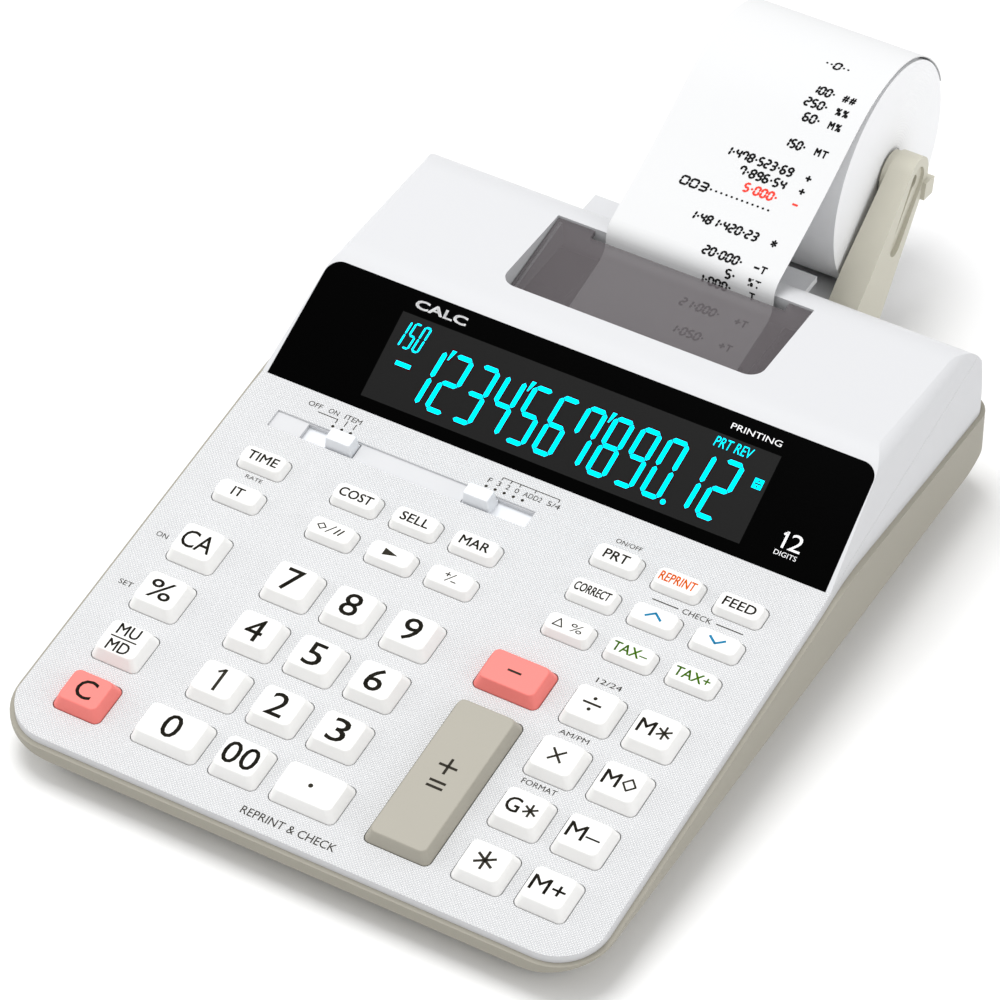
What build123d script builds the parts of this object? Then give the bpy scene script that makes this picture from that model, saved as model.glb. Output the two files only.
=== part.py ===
from build123d import *
from math import cos, radians, sin, sqrt, tan
import os

# Desk calculator with a tape printer and a paper roll. Millimetres, +Z up, keys towards -Y.
# The origin is on the table, under the middle of the whole object.

# ---------------------------------------------------------------- overall
body_width = 195.0           # base shell, across X
body_depth = 248.5           # front rim to back wall
roll_axis_back = 303.4       # front rim to the axis of the paper roll
roll_axis_height = 54.1
roll_radius = 36.0           # a part-used roll; a new one is 40
paper_width = 57.0           # standard tape
tape_thickness = 0.35        # drawn thicker than paper, so that it is a solid
tape_centre_x = 3.8          # the printer sits a little right of the middle

# ---------------------------------------------------------------- case
wall = 2.2
base_wall = 3.0
foot_height = 2.0
rim_step = 1.5               # the white case stands in from the base's rim by this
front_wall_low = 9.3         # lower edges of the base's upright walls
side_wall_low = 14.6
back_wall_low = 12.0
tub_slope = 45.0             # the underside's flanks
tub_corner = 8.0
front_panel_height = 16.0    # table to the key panel's front edge
panel_rise = 8.34            # key panel's slope, degrees
panel_length = 145.4         # up the slope, as far as the display
display_rise = 29.5          # display's slope, degrees
housing_height = 59.2        # printer housing's top
housing_fall = 0.75          # the top is this much lower at the back
brow_round = 16.0            # between the display and the housing's top
crown_round = 5.0            # along the sides of the housing's top
back_round = 18.0
corner_front = 17.0
corner_back = 9.0
parting_drop = 2.6           # white case's lower edge below the key panel
parting_crest = 155.0        # behind this the parting line falls
parting_back = 31.6
parting_round = 90.0
side_draft = 0.168           # the white sides lean in by this much per millimetre
draft_start = 33.5           # height where the housing's sides start to lean

# ---------------------------------------------------------------- keys
pitch = 20.05
small_pitch = 14.1
left_column = -75.55
number_column = -43.65
right_column = 75.5
front_row = 18.0             # up the panel's slope from its front edge
small_row = 100.1
key_width = 15.8
key_length = 14.1
small_length = 7.95
wide_key = 21.6
minus_key = 21.05
key_height = 4.0
small_height = 2.9
key_lean = 1.6               # how far a key's top stands in from its foot
small_lean = 1.0
key_corner = 2.0
key_edge = 0.5
key_gap = 0.3                # key to the hole's wall
key_travel = 2.0
small_travel = 1.5
flange_lip = 0.8
flange_thickness = 1.0
flange_gap = 0.1
stem_size = 4.0

# ---------------------------------------------------------------- circuit board and key mat
board_depth = 8.7            # key panel's face to the board's face
board_thickness = 1.6
board_front = 12.0
board_back = 138.0
board_width = 164.0
mat_thickness = 0.8
pad_height = 0.5
pad_radius = 2.6
pad_gap = 0.15
jack_x = -70.0
jack_height = 20.0
jack_radius = 5.0
jack_bore = 2.75
jack_length = 13.0

# ---------------------------------------------------------------- slide switches
knob_width = 9.2
knob_length = 5.4
knob_height = 3.6
knob_lean = 0.5
knob_gap = 0.3
stem_clear = 1.2             # the knobs' stems to the mat
shutter_length = 35.0        # the knobs' flanges always cover their slots
channel_left = -83.0
channel_right = 5.0
channel_front = 127.8
channel_back = 134.4
channel_depth = 0.7
power_slot = (-72.2, -53.9)  # X of the slot's ends
power_rest = -59.0
point_slot = (-17.1, 4.6)
point_rest = -12.1

# ---------------------------------------------------------------- display
bezel_low_half = 93.7
bezel_high_half = 92.0
bezel_length = 40.3
bezel_thickness = 1.6
bezel_corner = 5.0
bezel_sink = 0.15            # the bezel's face below the white border
bezel_gap = 0.1
bezel_ledge = 4.0            # the case under the bezel's edge
module_width = 160.0
module_length = 26.0
module_thickness = 5.0

# ---------------------------------------------------------------- printer mouth and cover
mouth_left = -42.1
mouth_right = 45.0
mouth_front = 194.2
mouth_back = 230.0
mouth_corner = 5.0
collar_wall = 1.6
collar_low = 47.6
cover_thickness = 1.6
cover_gap = 0.3
cover_front_height = 51.8
cover_back_height = 58.0
rail_width = 1.5             # ledges that carry the cover
ear_step = 3.0               # the tear-off edge stands forward of the ears by this
ear_reach = 4.5              # the tape's edge to the ear

# ---------------------------------------------------------------- printer
frame_wall = 1.5
frame_margin = 4.0           # the tape's edge to the frame's side plate
frame_front = 184.0
frame_back = 240.0
frame_low = 24.0
frame_high = 46.0
feed_axis_back = 207.5
feed_axis_height = 40.5
feed_radius = 5.2
tape_bend = 6.0              # middle of the tape round the feed roller
drum_axis_back = 193.0
drum_axis_height = 38.0
drum_radius = 6.0
shaft_radius = 2.0
shaft_gap = 0.05
gear_width = 3.0
shelf_back = 260.0           # paper shelf behind the housing
shelf_left = -46.0
shelf_right = 31.0
shelf_height = 43.5
inlet_low = 33.0
inlet_margin = 3.0

# ---------------------------------------------------------------- roll and its holder
arm_thickness = 9.8
arm_gap = 1.2                # arm to the roll's face
arm_end_radius = 8.2
arm_root_radius = 12.0
arm_root_back = 272.2
arm_root_height = 24.0
arm_recess = 1.2
arm_taper_inside = 1.5       # the arms' faces close in by this from root to axis
arm_taper_outside = 1.0
arm_lug = 6.0
spindle_radius = 5.55
spindle_gap = 0.05
spindle_length = 7.0
core_wall = 2.4
plate_low = 7.0
plate_high = 14.0
tongue_low = 14.2            # the arms' tongues go through the base's back wall
tongue_high = 19.0
tongue_neck = 1.0

# ---------------------------------------------------------------- underside
hatch_width = 62.0
hatch_front = 112.0
hatch_length = 58.0
hatch_travel = 10.0
hatch_thickness = 2.4
hatch_flange = 3.0
flange_height = 1.0
hatch_gap = 0.3
hatch_play = 0.1
cell_bay_height = 15.0
bay_wall = 1.5
foot_radius = 6.0
foot_inset = 14.0

front_y = -(roll_axis_back + roll_radius) / 2


def back(distance):
    """Y of a point at this distance behind the front rim."""
    return front_y + distance


key_plane = Plane(
    origin=(0, back(rim_step), front_panel_height),
    x_dir=(1, 0, 0),
    z_dir=(0, -sin(radians(panel_rise)), cos(radians(panel_rise))),
)
display_plane = Plane(
    origin=key_plane.from_local_coords((0, panel_length, 0)),
    x_dir=(1, 0, 0),
    z_dir=(0, -sin(radians(display_rise)), cos(radians(display_rise))),
)
tape_plane = Plane.YZ.offset(tape_centre_x)
roll_y = back(roll_axis_back)
across = 2 * body_width      # longer than anything it cuts


def panel_frame(x, v):
    """The key panel's plane, with its origin at one place on the panel."""
    return Plane(key_plane.from_local_coords((x, v, 0)), x_dir=(1, 0, 0), z_dir=key_plane.z_dir)


def save(builder, name):
    builder.part.label = name
    export_step(builder.part, f"parts/{name}.step")


# ---------------------------------------------------------------- forms that the two cases share
def plan_outline(inset):
    """The case seen from above, inset all round."""
    with BuildSketch() as plan:
        with Locations((0, back(body_depth / 2))):
            Rectangle(body_width - 2 * inset, body_depth - 2 * inset)
        fillet(plan.vertices().group_by(Axis.Y)[0], corner_front - inset)
        fillet(plan.vertices().group_by(Axis.Y)[-1], corner_back - inset)
    return plan.sketch


def below_parting():
    """Everything under the surface where the white case meets the base."""
    slope = tan(radians(panel_rise))
    edge = front_panel_height - parting_drop
    margin = 20
    deep = 100
    with BuildPart() as block:
        with BuildSketch(Plane.YZ.offset(-across / 2)) as profile:
            with BuildLine():
                Polyline(
                    (back(-margin), -deep),
                    (back(-margin), edge - slope * (margin + rim_step)),
                    (back(parting_crest), edge + slope * (parting_crest - rim_step)),
                    (back(body_depth), parting_back),
                    (back(body_depth + margin), parting_back),
                    (back(body_depth + margin), -deep),
                    close=True,
                )
            make_face()
            fillet(profile.vertices().sort_by(Axis.Y)[-1], parting_round)
        extrude(amount=across)
    return block.part


def white_form(inset):
    """The white case as a block that runs down past the table, with each face inset."""
    depth = 60
    rise = tan(radians(display_rise))
    foot = display_plane.origin
    brow_y = foot.Y + (housing_height - foot.Z) / rise
    back_y = back(body_depth - rim_step)
    half = body_width / 2 - rim_step - inset * sqrt(1 + side_draft**2)
    key_section = Plane(key_plane.origin, x_dir=(1, 0, 0), z_dir=-key_plane.y_dir)
    with BuildPart() as form:
        with BuildSketch(Plane.YZ.offset(-across / 2)) as profile:
            with BuildLine():
                Polyline(
                    (back(rim_step), -depth),
                    (back(rim_step), front_panel_height),
                    (foot.Y, foot.Z),
                    (brow_y, housing_height),
                    (back_y, housing_height - housing_fall),
                    (back_y, -depth),
                    close=True,
                )
            make_face()
            fillet(profile.vertices().sort_by(Axis.Y)[-1], brow_round)
            fillet(profile.vertices().group_by(Axis.X)[-1].sort_by(Axis.Y)[-1], back_round)
            offset(amount=-inset, mode=Mode.REPLACE)
        extrude(amount=across)
        with BuildSketch(Plane.XY.offset(-depth)):
            add(plan_outline(rim_step + inset))
        extrude(amount=3 * depth, mode=Mode.INTERSECT)
        for plane, start, high in (
            (Plane.XZ, draft_start, housing_height - inset),
            (key_section, -parting_drop, 2 * depth),
        ):
            foot_half = half + side_draft * (2 * depth + start)
            head_half = half - side_draft * (high - start)
            with BuildSketch(plane) as section:
                with BuildLine():
                    Polyline(
                        (-foot_half, -2 * depth),
                        (foot_half, -2 * depth),
                        (head_half, high),
                        (-head_half, high),
                        close=True,
                    )
                make_face()
                fillet(section.vertices().group_by(Axis.Y)[-1], crown_round - inset)
            extrude(amount=across, both=True, mode=Mode.INTERSECT)
    return form.part


def base_form(thickness):
    """The base as a block, with its walls and floor moved in by a thickness."""
    flank = tan(radians(90 - tub_slope))
    shift = thickness * flank - thickness / sin(radians(tub_slope))
    low = foot_height
    side = (side_wall_low - low) * flank - shift
    front = (front_wall_low - low) * flank - shift
    rear = (back_wall_low - low) * flank - shift
    with BuildPart() as form:
        with BuildSketch(Plane.XY.offset(low + thickness)) as floor:
            with Locations((0, back((front + body_depth - rear) / 2))):
                Rectangle(body_width - 2 * side, body_depth - front - rear)
            fillet(floor.vertices(), tub_corner)
        extrude(amount=80, taper=tub_slope - 90)
        with BuildSketch():
            add(plan_outline(thickness))
        extrude(amount=100, mode=Mode.INTERSECT)
    return form.part


# ---------------------------------------------------------------- keys
def columns(first, count):
    return [first + pitch * i for i in range(count)]


row_g, row_f, row_e, row_d = [front_row + pitch * i for i in range(4)]
row_c, row_b, row_a = [small_row + small_pitch * i for i in range(3)]
col_7, col_8, col_9 = columns(number_column, 3)
col_r1, col_r2, col_r3 = columns(right_column - 2 * pitch, 3)
zero_x = col_7 + key_width / 2 - wide_key / 2
point_x = col_9 - key_width / 2 + wide_key / 2
minus_x = (col_9 + col_r2) / 2 + 4.4

# name, X, distance up the panel, width, length
large_keys = [
    ("key_clear_all", left_column, row_d, key_width, key_length),
    ("key_percent", left_column, row_e, key_width, key_length),
    ("key_markup", left_column, row_f, key_width, key_length),
    ("key_clear", left_column, row_g, key_width, key_length),
    ("key_7", col_7, row_d, key_width, key_length),
    ("key_8", col_8, row_d, key_width, key_length),
    ("key_9", col_9, row_d, key_width, key_length),
    ("key_4", col_7, row_e, key_width, key_length),
    ("key_5", col_8, row_e, key_width, key_length),
    ("key_6", col_9, row_e, key_width, key_length),
    ("key_1", col_7, row_f, key_width, key_length),
    ("key_2", col_8, row_f, key_width, key_length),
    ("key_3", col_9, row_f, key_width, key_length),
    ("key_0", zero_x, row_g, wide_key, key_length),
    ("key_00", col_8, row_g, key_width, key_length),
    ("key_point", point_x, row_g, wide_key, key_length),
    ("key_minus", minus_x, row_d, minus_key, key_length),
    ("key_plus_equals", minus_x, row_f, minus_key, key_length + 2 * pitch),
    ("key_divide", col_r2, row_d, key_width, key_length),
    ("key_multiply", col_r2, row_e, key_width, key_length),
    ("key_grand_total", col_r2, row_f, key_width, key_length),
    ("key_total", col_r2, row_g, key_width, key_length),
    ("key_memory_total", col_r3, row_d, key_width, key_length),
    ("key_memory_subtotal", col_r3, row_e, key_width, key_length),
    ("key_memory_minus", col_r3, row_f, key_width, key_length),
    ("key_memory_plus", col_r3, row_g, key_width, key_length),
]
small_places = [
    ("key_print", col_r1, row_a),
    ("key_reprint", col_r2, row_a),
    ("key_feed", col_r3, row_a),
    ("key_time", left_column, row_b),
    ("key_cost", col_7, row_b),
    ("key_sell", col_8, row_b),
    ("key_margin", col_9, row_b),
    ("key_correct", col_r1, row_b),
    ("key_up", col_r2, row_b),
    ("key_down", col_r3, row_b),
    ("key_item", left_column, row_c),
    ("key_subtotal", col_7, row_c),
    ("key_backspace", col_8, row_c),
    ("key_sign", col_9, row_c),
    ("key_delta_percent", col_r1, row_c),
    ("key_tax_minus", col_r2, row_c),
    ("key_tax_plus", col_r3, row_c),
]
small_keys = [(name, x, v, key_width - 0.15, small_length) for name, x, v in small_places]
mat_face = -board_depth + mat_thickness
flange_top = -wall - flange_gap


def make_key(name, x, v, width, length, height, lean, travel):
    place = panel_frame(x, v)
    with BuildPart() as key:
        with BuildSketch(place):
            RectangleRounded(width, length, key_corner)
        with BuildSketch(place.offset(height)):
            RectangleRounded(width - 2 * lean, length - 2 * lean, key_corner)
        loft()
        top = key.faces().sort_by(key_plane_axis)[-1]
        fillet(top.outer_wire().edges(), key_edge)
        with BuildSketch(place):
            RectangleRounded(width, length, key_corner)
        extrude(amount=flange_top - flange_thickness)
        with BuildSketch(place.offset(flange_top)):
            RectangleRounded(width + 2 * flange_lip, length + 2 * flange_lip, key_corner)
        extrude(amount=-flange_thickness)
        with BuildSketch(place.offset(flange_top)):
            Rectangle(stem_size, stem_size)
        extrude(amount=mat_face + pad_height + travel + pad_gap - flange_top)
    save(key, name)


key_plane_axis = Axis(origin=key_plane.origin, direction=key_plane.z_dir)
os.makedirs("parts", exist_ok=True)

for name, x, v, width, length in large_keys:
    make_key(name, x, v, width, length, key_height, key_lean, key_travel)
for name, x, v, width, length in small_keys:
    make_key(name, x, v, width, length, small_height, small_lean, small_travel)


# ---------------------------------------------------------------- slide switch knobs
channel_middle = (channel_front + channel_back) / 2


def make_knob(name, rest):
    place = panel_frame(rest, channel_middle)
    with BuildPart() as knob:
        with BuildSketch(place.offset(-channel_depth)):
            RectangleRounded(knob_width, knob_length, 0.6)
        with BuildSketch(place.offset(knob_height)):
            RectangleRounded(knob_width - 2 * knob_lean, knob_length - 2 * knob_lean, 0.6)
        loft()
        top = knob.faces().sort_by(key_plane_axis)[-1]
        fillet(top.outer_wire().edges(), 0.3)
        with BuildSketch(place.offset(-channel_depth)):
            Rectangle(knob_width, knob_length)
        extrude(amount=channel_depth + flange_top - flange_thickness)
        with BuildSketch(place.offset(flange_top)):
            Rectangle(shutter_length, knob_length + 2 * flange_lip)
        extrude(amount=-flange_thickness)
        with BuildSketch(place.offset(flange_top)):
            Rectangle(stem_size, stem_size)
        extrude(amount=mat_face + stem_clear - flange_top)
    save(knob, name)


make_knob("power_switch", power_rest)
make_knob("point_switch", point_rest)


# ---------------------------------------------------------------- white top case
def mouth_outline(grow):
    """Plan of the printer's mouth, grown all round."""
    with BuildSketch() as plan:
        with Locations(((mouth_left + mouth_right) / 2, back((mouth_front + mouth_back) / 2))):
            Rectangle(mouth_right - mouth_left + 2 * grow, mouth_back - mouth_front + 2 * grow)
        fillet(plan.vertices().group_by(Axis.Y)[0], mouth_corner + grow)
    return plan.sketch


def bezel_outline(grow):
    """The display bezel in its own plane, grown all round."""
    with BuildSketch() as plan:
        with BuildLine():
            Polyline(
                (-bezel_low_half, 0),
                (bezel_low_half, 0),
                (bezel_high_half, bezel_length),
                (-bezel_high_half, bezel_length),
                close=True,
            )
        make_face()
        fillet(plan.vertices().group_by(Axis.Y)[-1], bezel_corner)
        if grow:
            offset(amount=grow, mode=Mode.REPLACE)
    return plan.sketch


with BuildPart() as collar:
    with BuildSketch(Plane.XY.offset(collar_low)):
        add(mouth_outline(collar_wall))
    extrude(amount=20)
    add(white_form(wall / 2), mode=Mode.INTERSECT)

shelf_y = back(body_depth - rim_step)
inlet_half = paper_width / 2 + inlet_margin
cover_rise = (cover_back_height - cover_front_height) / (mouth_back - mouth_front - 2 * cover_gap)
mouth_middle = (mouth_left + mouth_right) / 2


def cover_height(distance):
    """The cover's upper face at a distance behind the front rim."""
    return cover_front_height + cover_rise * (distance - mouth_front - cover_gap)


with BuildPart() as rails:
    with BuildSketch(Plane.YZ.offset(mouth_middle)):
        with BuildLine():
            Polyline(
                (back(mouth_front), cover_height(mouth_front) - cover_thickness),
                (back(mouth_back), cover_height(mouth_back) - cover_thickness),
                (back(mouth_back), collar_low),
                (back(mouth_front), collar_low),
                close=True,
            )
        make_face()
    extrude(amount=body_width / 4, both=True)
    with BuildSketch(Plane.XY.offset(collar_low)):
        add(mouth_outline(collar_wall / 2))
    extrude(amount=20, mode=Mode.INTERSECT)
    with BuildSketch(Plane.XY.offset(collar_low)):
        with Locations((mouth_middle, back((mouth_front + mouth_back) / 2))):
            Rectangle(mouth_right - mouth_left - 2 * rail_width, body_depth)
    extrude(amount=20, mode=Mode.SUBTRACT)

with BuildPart() as top_case:
    add(white_form(0))
    add(white_form(wall), mode=Mode.SUBTRACT)
    add(below_parting(), mode=Mode.SUBTRACT)
    add(collar.part)
    with BuildSketch(Plane.XY.offset(collar_low)):
        add(mouth_outline(0))
    extrude(amount=20, mode=Mode.SUBTRACT)
    add(rails.part)
    for _, x, v, width, length in large_keys + small_keys:
        with BuildSketch(panel_frame(x, v)):
            RectangleRounded(width + 2 * key_gap, length + 2 * key_gap, key_corner + key_gap)
        extrude(amount=-2 * wall, mode=Mode.SUBTRACT)
    with BuildSketch(panel_frame(0, channel_middle)):
        with Locations(((channel_left + channel_right) / 2, 0)):
            Rectangle(channel_right - channel_left, channel_back - channel_front)
    extrude(amount=-channel_depth, mode=Mode.SUBTRACT)
    for left, right in (power_slot, point_slot):
        with BuildSketch(panel_frame((left + right) / 2, channel_middle)):
            Rectangle(right - left, knob_length + 2 * knob_gap)
        extrude(amount=-2 * wall, mode=Mode.SUBTRACT)
    with BuildSketch(display_plane):
        add(bezel_outline(bezel_gap))
    extrude(amount=-(bezel_sink + bezel_thickness), mode=Mode.SUBTRACT)
    with BuildSketch(display_plane):
        with Locations((0, bezel_length / 2)):
            Rectangle(2 * (bezel_high_half - bezel_corner), bezel_length - 2 * bezel_ledge)
    extrude(amount=-4 * wall, mode=Mode.SUBTRACT)
    with BuildSketch(tape_plane):
        with Locations((shelf_y, (inlet_low + shelf_height - wall) / 2)):
            Rectangle(4 * wall, shelf_height - wall - inlet_low)
    extrude(amount=inlet_half, both=True, mode=Mode.SUBTRACT)
    with BuildSketch(Plane.XY.offset(shelf_height - wall)):
        with Locations(((shelf_left + shelf_right) / 2, (shelf_y - wall / 2 + back(shelf_back)) / 2)):
            Rectangle(shelf_right - shelf_left, back(shelf_back) - shelf_y + wall / 2)
    extrude(amount=wall)
save(top_case, "top_case")


# ---------------------------------------------------------------- base
board_under = -(board_depth + board_thickness)
hatch_middle = hatch_front + hatch_length / 2
bay_middle = hatch_front + (hatch_length - hatch_travel) / 2
floor_top = foot_height + base_wall
bay_top = floor_top + cell_bay_height
arm_inside = paper_width / 2 + arm_gap
arm_middle = arm_inside + arm_thickness / 2
feed_y = back(feed_axis_back)
drum_y = back(drum_axis_back)
frame_half = paper_width / 2 + frame_margin
frame_middle = (frame_front + frame_back) / 2

with BuildPart() as posts:
    with BuildSketch(Plane.XY.offset(floor_top - base_wall / 2)):
        with Locations(*[(x, back(y)) for x in (-66, 66) for y in (26, 82, 128)]):
            Circle(3.5)
    extrude(amount=60)
    with BuildSketch(key_plane.offset(board_under)):
        Rectangle(2 * across, 2 * across)
    extrude(amount=across, mode=Mode.SUBTRACT)

with BuildPart() as bottom_case:
    add(base_form(0))
    add(below_parting(), mode=Mode.INTERSECT)
    add(base_form(base_wall), mode=Mode.SUBTRACT)
    add(posts.part)
    with BuildSketch(Plane.XY.offset(floor_top - base_wall / 2)):
        with Locations((tape_centre_x, back(frame_middle))):
            with GridLocations(2 * frame_half - 8, frame_back - frame_front - 12, 2, 2):
                Circle(3.5)
    extrude(amount=frame_low - floor_top + base_wall / 2)
    with BuildSketch(Plane.XY.offset(floor_top - base_wall / 2)):
        with Locations((0, back(bay_middle))):
            Rectangle(hatch_width + 2 * bay_wall, hatch_length - hatch_travel + 2 * bay_wall)
    extrude(amount=bay_top + bay_wall - floor_top + base_wall / 2)
    with BuildSketch():
        with Locations((0, back(bay_middle))):
            Rectangle(hatch_width - 2 * hatch_flange, hatch_length - hatch_travel)
    extrude(amount=bay_top, mode=Mode.SUBTRACT)
    with BuildSketch():
        with Locations((0, back(hatch_front + (hatch_length + hatch_travel) / 2))):
            Rectangle(hatch_width - 2 * hatch_flange, hatch_length + hatch_travel)
    extrude(amount=foot_height + hatch_thickness + hatch_play, mode=Mode.SUBTRACT)
    with BuildSketch(Plane.XY.offset(foot_height + hatch_thickness - flange_height - hatch_play)):
        with Locations((0, back(hatch_front + (hatch_length + hatch_travel) / 2))):
            Rectangle(hatch_width, hatch_length + hatch_travel)
    extrude(amount=flange_height + 2 * hatch_play, mode=Mode.SUBTRACT)
    with BuildSketch(Plane.XZ.offset(-back(body_depth))):
        with Locations((jack_x, jack_height)):
            Circle(jack_radius + key_gap)
    extrude(amount=2 * base_wall, both=True, mode=Mode.SUBTRACT)
    with BuildSketch(Plane.XZ.offset(-back(body_depth))):
        for side in (-1, 1):
            with Locations((tape_centre_x + side * arm_middle, (tongue_low + tongue_high) / 2)):
                Rectangle(arm_thickness, tongue_high - tongue_low)
    extrude(amount=2 * base_wall, both=True, mode=Mode.SUBTRACT)
save(bottom_case, "bottom_case")

with BuildPart() as battery_cover:
    inner_width = hatch_width - 2 * hatch_flange - 2 * hatch_gap
    with BuildSketch(Plane.XY.offset(foot_height)):
        with Locations((0, back(hatch_middle))):
            Rectangle(inner_width, hatch_length - 2 * hatch_gap)
    extrude(amount=hatch_thickness)
    with BuildSketch(Plane.XY.offset(foot_height + hatch_thickness - flange_height)):
        with Locations((0, back(hatch_middle))):
            Rectangle(hatch_width - 2 * hatch_gap, hatch_length - 2 * hatch_gap)
    extrude(amount=flange_height)
    with BuildSketch(Plane.XY.offset(foot_height)):
        with Locations((0, back(hatch_front + hatch_length - 12))):
            with GridLocations(1, 3, 1, 5):
                Rectangle(inner_width / 2, 1.2)
    extrude(amount=0.8, mode=Mode.SUBTRACT)
save(battery_cover, "battery_cover")

with BuildPart() as rubber_feet:
    flank_reach = (side_wall_low - foot_height) * tan(radians(90 - tub_slope))
    foot_x = body_width / 2 - flank_reach - foot_inset
    with BuildSketch():
        for x in (-foot_x, foot_x):
            for y in (front_wall_low + foot_inset, body_depth - back_wall_low - foot_inset):
                with Locations((x, back(y))):
                    Circle(foot_radius)
    extrude(amount=foot_height)
    fillet(rubber_feet.edges().group_by(Axis.Z)[0], 0.5)
save(rubber_feet, "rubber_feet")


# ---------------------------------------------------------------- display
with BuildPart() as display_window:
    with BuildSketch(display_plane.offset(-bezel_sink)):
        add(bezel_outline(0))
    extrude(amount=-bezel_thickness)
save(display_window, "display_window")

with BuildPart() as display_module:
    with BuildSketch(display_plane.offset(-bezel_sink - bezel_thickness)):
        with Locations((0, bezel_length / 2)):
            Rectangle(module_width, module_length)
    extrude(amount=-module_thickness)
save(display_module, "display_module")


# ---------------------------------------------------------------- circuit board and key mat
with BuildPart() as circuit_board:
    with BuildSketch(key_plane.offset(-board_depth)):
        with Locations((0, (board_front + board_back) / 2)):
            Rectangle(board_width, board_back - board_front)
    extrude(amount=-board_thickness)
    with BuildSketch(key_plane.offset(board_under)):
        with Locations((-48, 60), (52, 74), (-44, 122)):
            Rectangle(16, 12)
    extrude(amount=-2)
    with BuildSketch(Plane.XZ.offset(-back(body_depth - base_wall / 2))):
        with Locations((jack_x, jack_height)):
            Circle(jack_radius)
            Circle(jack_bore, mode=Mode.SUBTRACT)
    extrude(amount=jack_length)
    with BuildSketch(Plane.XZ.offset(-back(body_depth - base_wall / 2 - jack_length))):
        with Locations((jack_x, jack_height)):
            Rectangle(2 * jack_radius, 2 * jack_radius)
    extrude(amount=2)
    with BuildSketch(Plane.XZ.offset(-back(body_depth - base_wall))):
        with Locations((jack_x, jack_height)):
            Circle(1)
    extrude(amount=jack_length - 1)
save(circuit_board, "circuit_board")

with BuildPart() as key_dome_sheet:
    with BuildSketch(key_plane.offset(-board_depth)):
        with Locations((0, (board_front + board_back) / 2)):
            Rectangle(board_width, board_back - board_front)
    extrude(amount=mat_thickness)
    with BuildSketch(key_plane.offset(mat_face)):
        with Locations(*[(x, v) for _, x, v, _, _ in large_keys + small_keys]):
            Circle(pad_radius)
    extrude(amount=pad_height)
save(key_dome_sheet, "key_dome_sheet")


# ---------------------------------------------------------------- printer cover
tear_edge = mouth_back - cover_gap - ear_step
with BuildPart() as printer_cover:
    with BuildSketch(Plane.YZ.offset(mouth_middle)):
        with BuildLine():
            Polyline(
                (back(mouth_front), cover_height(mouth_front)),
                (back(mouth_back), cover_height(mouth_back)),
                (back(mouth_back), cover_height(mouth_back) - cover_thickness),
                (back(mouth_front), cover_height(mouth_front) - cover_thickness),
                close=True,
            )
        make_face()
    extrude(amount=body_width / 4, both=True)
    with BuildSketch(Plane.XY.offset(collar_low)):
        add(mouth_outline(-cover_gap))
    extrude(amount=20, mode=Mode.INTERSECT)
    with BuildSketch(Plane.XY.offset(collar_low)):
        with Locations((tape_centre_x, back(tear_edge) + body_depth / 2)):
            Rectangle(paper_width + 2 * ear_reach, body_depth)
    extrude(amount=20, mode=Mode.SUBTRACT)
save(printer_cover, "printer_cover")


# ---------------------------------------------------------------- printer
with BuildPart() as printer_frame:
    with BuildSketch(Plane.XY.offset(frame_low)):
        with Locations((tape_centre_x, back(frame_middle))):
            Rectangle(2 * frame_half, frame_back - frame_front)
    extrude(amount=frame_high - frame_low)
    with BuildSketch(Plane.XY.offset(frame_low + frame_wall)):
        with Locations((tape_centre_x, back(frame_middle + frame_wall))):
            Rectangle(2 * (frame_half - frame_wall), frame_back - frame_front)
    extrude(amount=frame_high, mode=Mode.SUBTRACT)
    with BuildSketch(tape_plane):
        with Locations((feed_y, feed_axis_height), (drum_y, drum_axis_height)):
            Circle(shaft_radius + shaft_gap)
    extrude(amount=body_width / 2, both=True, mode=Mode.SUBTRACT)
save(printer_frame, "printer_frame")

gear_radius = sqrt((feed_y - drum_y) ** 2 + (feed_axis_height - drum_axis_height) ** 2) / 2 - key_gap / 2


def make_roller(name, y, z, radius, bands):
    with BuildPart() as roller:
        with BuildSketch(tape_plane):
            with Locations((y, z)):
                Circle(shaft_radius)
        extrude(amount=frame_half + 2, both=True)
        with BuildSketch(tape_plane.offset(frame_half + 2)):
            with Locations((y, z)):
                Circle(gear_radius)
        extrude(amount=gear_width)
        step = (paper_width - 2) / bands
        for i in range(bands):
            middle = (i + 0.5 - bands / 2) * step
            with BuildSketch(tape_plane.offset(middle)):
                with Locations((y, z)):
                    Circle(radius)
            extrude(amount=step / 2 - 0.4, both=True)
    save(roller, name)


make_roller("feed_roller", feed_y, feed_axis_height, feed_radius, 3)
make_roller("print_wheel", drum_y, drum_axis_height, drum_radius, 12)


# ---------------------------------------------------------------- roll, its holder and the tape
with BuildPart() as paper_roll:
    bore = spindle_radius + spindle_gap
    with BuildSketch(tape_plane):
        with Locations((roll_y, roll_axis_height)):
            Circle(roll_radius)
            Circle(bore + core_wall, mode=Mode.SUBTRACT)
    extrude(amount=paper_width / 2, both=True)
    with BuildSketch(tape_plane):
        with Locations((roll_y, roll_axis_height)):
            Circle(bore + core_wall)
            Circle(bore, mode=Mode.SUBTRACT)
    extrude(amount=paper_width / 2 - 0.3, both=True)
save(paper_roll, "paper_roll")

bend_left = feed_y - tape_bend
bend_low = feed_axis_height - tape_bend
slot_y = back(mouth_back - cover_gap - ear_step / 2)
under_y = roll_y - 13.9
under_z = roll_axis_height - 33.8

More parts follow.
